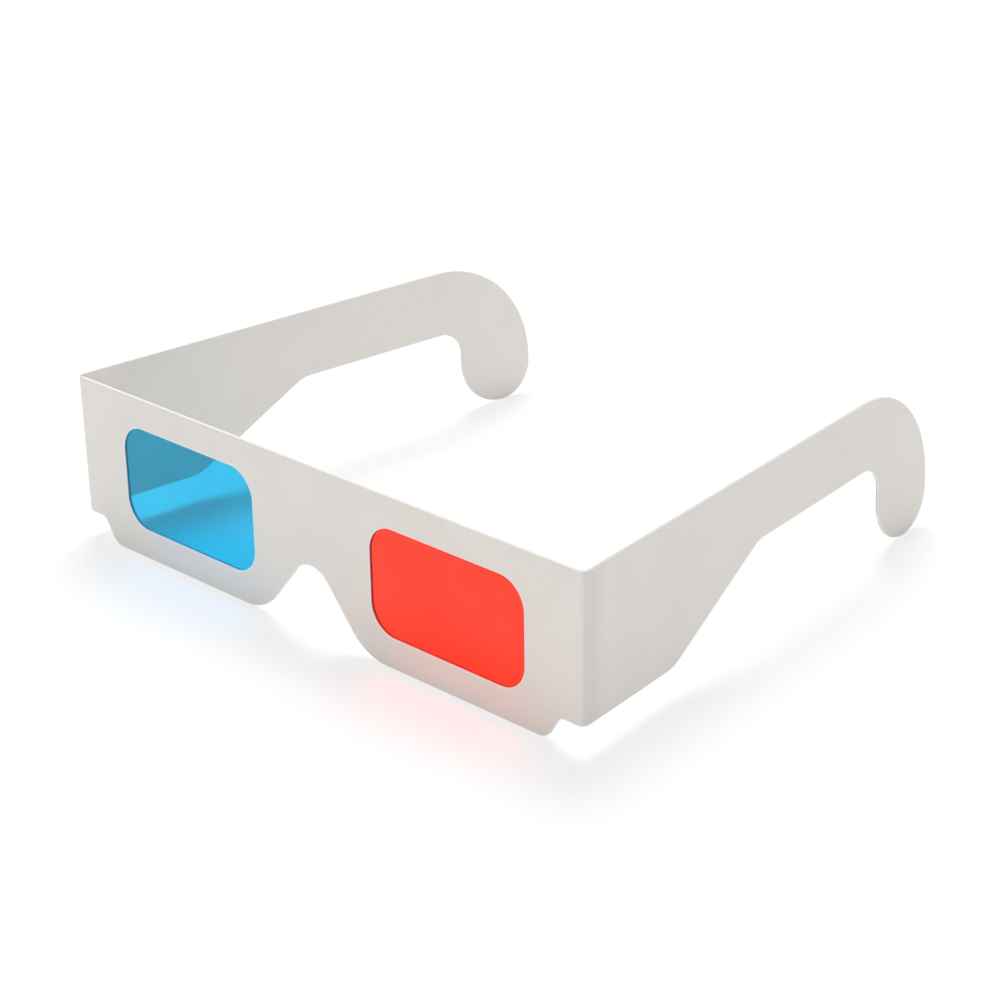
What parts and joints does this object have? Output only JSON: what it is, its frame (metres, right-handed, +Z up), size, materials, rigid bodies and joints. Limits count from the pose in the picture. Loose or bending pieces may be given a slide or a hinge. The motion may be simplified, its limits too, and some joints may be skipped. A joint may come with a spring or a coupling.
{
  "type": "3d glasses",
  "caption": "Folded paperboard viewing glasses with a red and a cyan film in rounded windows, a nose notch and hooked arms that fold on creases.",
  "frame": {"origin": "on the table under the middle of the opened glasses, the bottom centre of their box", "axes": "+X to the wearer's left, +Y from the front back to the ear hooks, +Z up"},
  "size_m": [0.14, 0.1216, 0.0355],
  "materials": {
    "board": "matte",
    "red_film": "gloss",
    "cyan_film": "gloss",
    "glue": "satin"
  },
  "bodies": {
    "front": {"front_panel": "board", "back_panel": "board", "top_fold": "board", "left_crease": "board", "right_crease": "board", "red_film": "red_film", "cyan_film": "cyan_film", "red_film_glue": "glue", "cyan_film_glue": "glue", "panel_glue": "glue"},
    "left_arm": {"left_arm": "board"},
    "right_arm": {"right_arm": "board"}
  },
  "joints": [
    {"name": "left_arm_fold", "type": "hinge", "parent": "front", "child": "left_arm", "pos_m": [0.0688, -0.05962, 0.02], "axis": [0, 0, 1], "range_deg": [-95.7, 84.3], "deforming": ["left_crease"]},
    {"name": "right_arm_fold", "type": "hinge", "parent": "front", "child": "right_arm", "pos_m": [-0.0688, -0.05962, 0.02], "axis": [0, 0, -1], "range_deg": [-95.7, 83.6], "deforming": ["right_crease"]}
  ]
}
